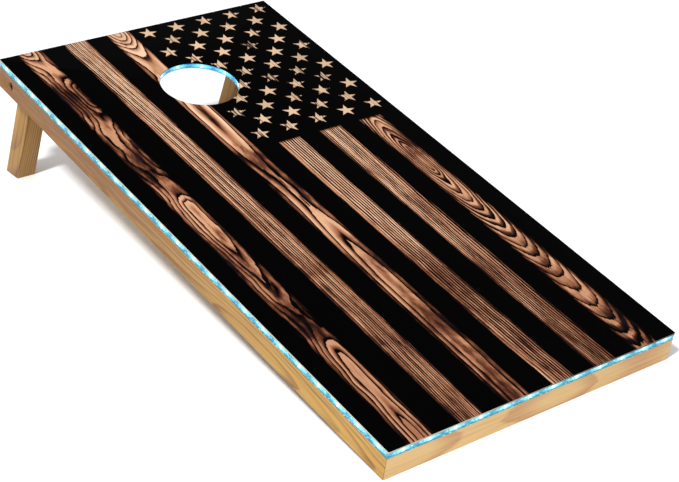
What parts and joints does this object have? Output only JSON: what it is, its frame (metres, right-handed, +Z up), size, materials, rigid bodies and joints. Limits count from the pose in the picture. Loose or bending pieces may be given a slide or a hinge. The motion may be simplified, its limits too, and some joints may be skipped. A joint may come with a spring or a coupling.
{
  "type": "cornhole board",
  "caption": "Sloping flat game board with a round bag hole, mitred wood frame, folding back legs, lit edge and hole, and a battery box underneath.",
  "frame": {"origin": "on the ground below the middle of the whole board, legs unfolded", "axes": "+X to the right seen from the low end, +Y towards the high end, +Z up"},
  "size_m": [0.6096, 1.2742, 0.271],
  "materials": {
    "deck_print": "burnt wood print with a satin clear coat",
    "pine_rail": "clear-sealed pine, satin",
    "pine_leg": "clear-sealed pine, satin",
    "pine_block": "planed pine, bare",
    "black_steel": "black oxide",
    "zinc_steel": "bright zinc plate",
    "yellow_screw": "yellow zinc plate",
    "light_sleeve": "clear silicone, lit from inside",
    "light_tape": "white printed circuit tape",
    "light_chip": "lit chip",
    "resistor": "matt",
    "box_plastic": "fine spark texture",
    "cell_wrap": "shrink wrap",
    "contact_metal": "nickel plate",
    "board_green": "solder mask",
    "switch_black": "moulded",
    "button_grey": "moulded, satin",
    "lead_jacket": "smooth jacket",
    "clip_white": "moulded"
  },
  "bodies": {
    "board": {"deck_panel": "deck_print", "front_rail": "pine_rail", "back_rail": "pine_rail", "left_rail": "pine_rail", "right_rail": "pine_rail", "cross_brace": "pine_block", "corner_block_left": "pine_block", "corner_block_right": "pine_block", "pivot_block_left": "pine_block", "pivot_block_right": "pine_block", "pivot_bolt_left": "black_steel", "pivot_bolt_right": "black_steel", "pivot_washers": "zinc_steel", "lock_nuts": "zinc_steel", "sleeve_front": "light_sleeve", "sleeve_back": "light_sleeve", "sleeve_left": "light_sleeve", "sleeve_right": "light_sleeve", "tape_front": "light_tape", "tape_back": "light_tape", "tape_left": "light_tape", "tape_right": "light_tape", "edge_chips": "light_chip", "edge_resistors": "resistor", "hole_sleeve": "light_sleeve", "hole_tape": "light_tape", "hole_chips_ring": "light_chip", "battery_box": "box_plastic", "control_plate": "box_plastic", "battery_cells": "cell_wrap", "contact_springs": "contact_metal", "contact_plates": "contact_metal", "control_board": "board_green", "tact_switch": "switch_black", "edge_lead": "lead_jacket", "hole_lead": "lead_jacket", "lead_clips": "clip_white", "deck_screws": "yellow_screw", "corner_screws": "yellow_screw", "pivot_block_screws": "yellow_screw", "pocket_screws": "yellow_screw", "box_screws": "zinc_steel", "plate_screws": "zinc_steel"},
    "left_leg": {"leg_left": "pine_leg"},
    "right_leg": {"leg_right": "pine_leg"},
    "battery_door": {"battery_cover": "box_plastic"},
    "button": {"power_button": "button_grey"}
  },
  "joints": [
    {"name": "left_leg_fold", "type": "hinge", "parent": "board", "child": "left_leg", "pos_m": [-0.2503, 0.52366, 0.22861], "axis": [-1, 0, 0], "range_deg": [0, 101.3]},
    {"name": "right_leg_fold", "type": "hinge", "parent": "board", "child": "right_leg", "pos_m": [0.2503, 0.52366, 0.22861], "axis": [-1, 0, 0], "range_deg": [0, 101.3]},
    {"name": "battery_door_slide", "type": "slide", "parent": "board", "child": "battery_door", "axis": [1, 0, 0], "range_m": [0, 0.0602]},
    {"name": "power_button_press", "type": "slide", "parent": "board", "child": "button", "axis": [0, -0.1763, 0.9843], "range_m": [0, 0.0015], "stiffness_N_per_m": 600}
  ]
}
